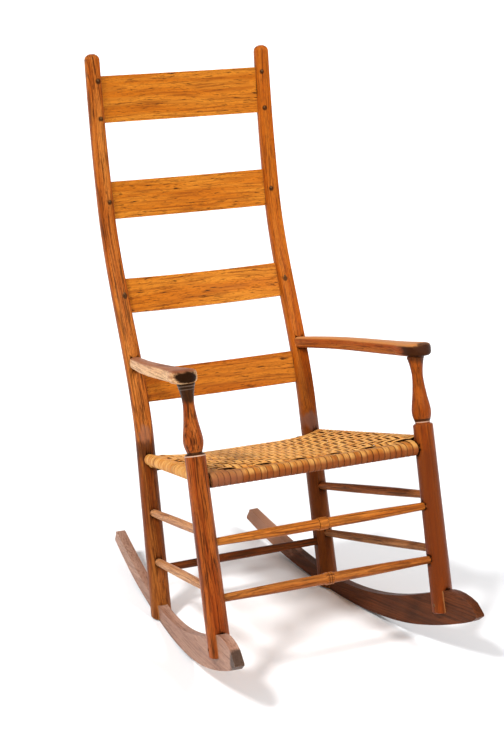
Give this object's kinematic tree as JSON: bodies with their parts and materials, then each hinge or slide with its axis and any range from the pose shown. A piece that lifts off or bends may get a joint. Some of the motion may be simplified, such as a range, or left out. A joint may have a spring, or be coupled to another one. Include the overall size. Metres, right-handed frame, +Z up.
{
  "type": "rocking chair",
  "caption": "Ladder back rocking chair with bowed slats, turned front posts, shaped arms, a woven splint seat and long curved rockers.",
  "frame": {"origin": "on the floor, under the middle of the chair's overall box, with the chair at rest on its rockers", "axes": "+Z up, the sitter faces -Y, +X to the right as seen from in front, mirror plane X = 0"},
  "size_m": [0.5132, 0.8182, 1.0018],
  "materials": {
    "post": "satin",
    "slat": "satin",
    "arm": "satin",
    "rung": "satin",
    "rocker": "matte",
    "peg": "matte",
    "splint": "matte"
  },
  "bodies": {
    "root": {"left_front_post": "post", "right_front_post": "post", "left_back_post": "post", "right_back_post": "post", "top_slat": "slat", "upper_slat": "slat", "lower_slat": "slat", "bottom_slat": "slat", "left_arm": "arm", "right_arm": "arm", "front_rail": "rung", "back_rail": "rung", "left_rail": "rung", "right_rail": "rung", "seat_warp": "splint", "seat_weft": "splint", "upper_front_stretcher": "rung", "lower_front_stretcher": "rung", "back_stretcher": "rung", "left_upper_stretcher": "rung", "left_lower_stretcher": "rung", "right_upper_stretcher": "rung", "right_lower_stretcher": "rung", "left_rocker": "rocker", "right_rocker": "rocker", "rocker_pins": "peg", "slat_pegs": "peg"}
  },
  "joints": []
}
